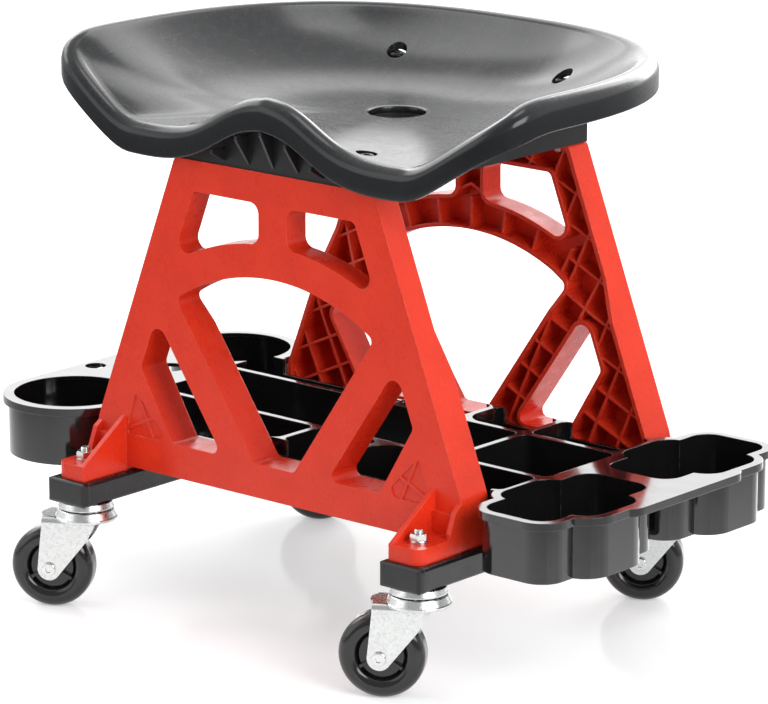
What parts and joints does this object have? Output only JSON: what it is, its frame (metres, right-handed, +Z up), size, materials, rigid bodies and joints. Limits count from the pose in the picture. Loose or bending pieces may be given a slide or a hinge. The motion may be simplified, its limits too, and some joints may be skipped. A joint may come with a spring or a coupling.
{
  "type": "creeper seat",
  "caption": "Low rolling mechanic's seat: a dished seat on two ribbed red side panels, with a moulded tool tray between them, on rails with swivel casters.",
  "frame": {"origin": "on the floor under the middle of the part's box, with the casters as the picture shows them", "axes": "+Z up, +X along the seat's width toward the tray's pockets, -Y toward the seat's front, where the sitter's knees are"},
  "size_m": [0.487, 0.3034, 0.3605],
  "materials": {
    "seat_plastic": "dark grey moulded plastic with a fine grain, semi-gloss",
    "base_plastic": "black moulded plastic, semi-matt",
    "panel_plastic": "red moulded plastic, soft gloss",
    "rail_paint": "black gloss paint on steel",
    "cap_plastic": "black plastic, semi-gloss",
    "tray_plastic": "black moulded plastic, high gloss",
    "black_screws": "blackened steel",
    "zinc": "bright zinc plate",
    "fork_zinc": "zinc plated pressed steel",
    "sleeve_steel": "plain turned steel",
    "ball_steel": "polished steel",
    "wheel_plastic": "hard black plastic, gloss"
  },
  "bodies": {
    "frame": {"seat_pan": "seat_plastic", "seat_base": "base_plastic", "front_panel": "panel_plastic", "rear_panel": "panel_plastic", "left_rail": "rail_paint", "right_rail": "rail_paint", "rail_end_caps": "cap_plastic", "tool_tray": "tray_plastic", "front_seat_screws": "black_screws", "rear_seat_screws": "black_screws", "seat_nuts": "zinc", "tray_screws": "zinc", "foot_washers": "zinc", "foot_nuts": "zinc", "front_left_stem": "zinc", "front_left_race": "fork_zinc", "front_right_stem": "zinc", "front_right_race": "fork_zinc", "rear_left_stem": "zinc", "rear_left_race": "fork_zinc", "rear_right_stem": "zinc", "rear_right_race": "fork_zinc"},
    "front_left_yoke": {"front_left_fork": "fork_zinc", "front_left_balls": "ball_steel", "front_left_axle": "zinc", "front_left_axle_nut": "zinc", "front_left_sleeve": "sleeve_steel"},
    "front_left_roller": {"front_left_wheel": "wheel_plastic"},
    "front_right_yoke": {"front_right_fork": "fork_zinc", "front_right_balls": "ball_steel", "front_right_axle": "zinc", "front_right_axle_nut": "zinc", "front_right_sleeve": "sleeve_steel"},
    "front_right_roller": {"front_right_wheel": "wheel_plastic"},
    "rear_left_yoke": {"rear_left_fork": "fork_zinc", "rear_left_balls": "ball_steel", "rear_left_axle": "zinc", "rear_left_axle_nut": "zinc", "rear_left_sleeve": "sleeve_steel"},
    "rear_left_roller": {"rear_left_wheel": "wheel_plastic"},
    "rear_right_yoke": {"rear_right_fork": "fork_zinc", "rear_right_balls": "ball_steel", "rear_right_axle": "zinc", "rear_right_axle_nut": "zinc", "rear_right_sleeve": "sleeve_steel"},
    "rear_right_roller": {"rear_right_wheel": "wheel_plastic"}
  },
  "joints": [
    {"name": "front_left_swivel", "type": "hinge", "parent": "frame", "child": "front_left_yoke", "pos_m": [-0.138, -0.12171, 0.0653], "axis": [0, 0, 1], "continuous": true},
    {"name": "front_left_spin", "type": "hinge", "parent": "front_left_yoke", "child": "front_left_roller", "pos_m": [-0.15671, -0.1323, 0.0265], "axis": [0.4924, -0.8704, 0], "continuous": true},
    {"name": "front_right_swivel", "type": "hinge", "parent": "frame", "child": "front_right_yoke", "pos_m": [0.138, -0.12171, 0.0653], "axis": [0, 0, 1], "continuous": true},
    {"name": "front_right_spin", "type": "hinge", "parent": "front_right_yoke", "child": "front_right_roller", "pos_m": [0.11929, -0.1323, 0.0265], "axis": [0.4924, -0.8704, 0], "continuous": true},
    {"name": "rear_left_swivel", "type": "hinge", "parent": "frame", "child": "rear_left_yoke", "pos_m": [-0.138, 0.13169, 0.0653], "axis": [0, 0, 1], "continuous": true},
    {"name": "rear_left_spin", "type": "hinge", "parent": "rear_left_yoke", "child": "rear_left_roller", "pos_m": [-0.15671, 0.1211, 0.0265], "axis": [0.4924, -0.8704, 0], "continuous": true},
    {"name": "rear_right_swivel", "type": "hinge", "parent": "frame", "child": "rear_right_yoke", "pos_m": [0.138, 0.13169, 0.0653], "axis": [0, 0, 1], "continuous": true},
    {"name": "rear_right_spin", "type": "hinge", "parent": "rear_right_yoke", "child": "rear_right_roller", "pos_m": [0.11929, 0.1211, 0.0265], "axis": [0.4924, -0.8704, 0], "continuous": true}
  ]
}
